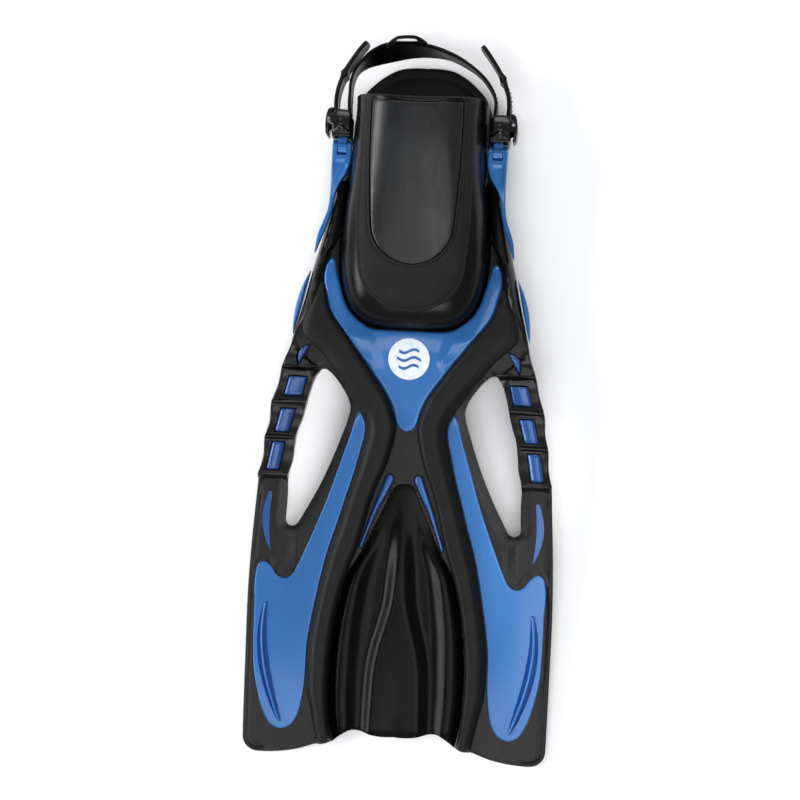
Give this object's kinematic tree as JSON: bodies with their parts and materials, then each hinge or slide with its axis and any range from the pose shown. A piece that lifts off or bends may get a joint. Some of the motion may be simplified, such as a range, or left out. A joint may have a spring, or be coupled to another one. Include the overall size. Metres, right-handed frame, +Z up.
{
  "type": "swim fin",
  "caption": "Adjustable open-heel swim fin: black foot pocket and ribbed blade with blue panels, open side vents and a pivoting heel strap with quick-release buckles.",
  "frame": {"origin": "centre of the footprint, on the ground the fin rests on", "axes": "+Y from the blade tip towards the heel, +X to the right seen from above with the heel away, +Z up"},
  "size_m": [0.2464, 0.5792, 0.0829],
  "materials": {
    "frame_plastic": "black satin moulded plastic",
    "blue_plastic": "pearl blue, glossy",
    "gloss_rubber": "polished black rubber with soft broad highlights",
    "matte_rubber": "matte black, finely textured",
    "strap_rubber": "black moulded rubber, satin",
    "buckle_plastic": "black moulded acetal, half gloss",
    "steel": "stainless steel",
    "badge_print": "pale printed disc, plain"
  },
  "bodies": {
    "fin": {"blade_frame": "frame_plastic", "crest_panel": "blue_plastic", "blade_panel_left": "blue_plastic", "blade_panel_right": "blue_plastic", "strut_insert_1_left": "blue_plastic", "strut_insert_1_right": "blue_plastic", "strut_insert_2_left": "blue_plastic", "strut_insert_2_right": "blue_plastic", "strut_insert_3_left": "blue_plastic", "strut_insert_3_right": "blue_plastic", "edge_crescent_left": "blue_plastic", "edge_crescent_right": "blue_plastic", "scoop_insert_left": "blue_plastic", "scoop_insert_right": "blue_plastic", "flank_insert_left": "blue_plastic", "flank_insert_right": "blue_plastic", "strut_crescent_left": "blue_plastic", "strut_crescent_right": "blue_plastic", "side_arm_left": "blue_plastic", "side_arm_right": "blue_plastic", "foot_pocket": "gloss_rubber", "instep_panel": "gloss_rubber", "scoop_membrane": "gloss_rubber", "instep_bezel": "matte_rubber", "footbed": "matte_rubber", "heel_grip_pad": "matte_rubber", "toe_grip_pad": "matte_rubber", "rail_left": "matte_rubber", "rail_right": "matte_rubber", "pivot_pin_left": "steel", "pivot_pin_right": "steel", "crest_badge": "badge_print"},
    "strap_assembly": {"heel_strap": "strap_rubber", "pull_tab": "strap_rubber", "buckle_body_left": "buckle_plastic", "buckle_body_right": "buckle_plastic", "roller_axle_left": "steel", "roller_axle_right": "steel", "lever_pin_left": "steel", "lever_pin_right": "steel", "lever_spring_left": "steel", "lever_spring_right": "steel"},
    "lever_right": {"release_lever_right": "buckle_plastic"},
    "lever_left": {"release_lever_left": "buckle_plastic"},
    "roller_right": {"strap_roller_right": "buckle_plastic"},
    "roller_left": {"strap_roller_left": "buckle_plastic"}
  },
  "joints": [
    {"name": "strap_swing", "type": "hinge", "parent": "fin", "child": "strap_assembly", "pos_m": [0, 0.19894, 0.03], "axis": [1, 0, 0], "range_deg": [-4, 85]},
    {"name": "lever_right_press", "type": "hinge", "parent": "strap_assembly", "child": "lever_right", "pos_m": [0.0742, 0.21982, 0.0278], "axis": [0, -0.1045, -0.9945], "range_deg": [0, 9], "stiffness_Nm_per_rad": 0.05, "springref_deg": -8.59},
    {"name": "lever_left_press", "type": "hinge", "parent": "strap_assembly", "child": "lever_left", "pos_m": [-0.0742, 0.21982, 0.0278], "axis": [0, 0.1045, 0.9945], "range_deg": [0, 9], "stiffness_Nm_per_rad": 0.05, "springref_deg": -8.59},
    {"name": "roller_right_spin", "type": "hinge", "parent": "strap_assembly", "child": "roller_right", "pos_m": [0.0637, 0.21744, 0.02806], "axis": [0, 0.1045, 0.9945], "continuous": true},
    {"name": "roller_left_spin", "type": "hinge", "parent": "strap_assembly", "child": "roller_left", "pos_m": [-0.0637, 0.21744, 0.02806], "axis": [0, 0.1045, 0.9945], "continuous": true}
  ]
}
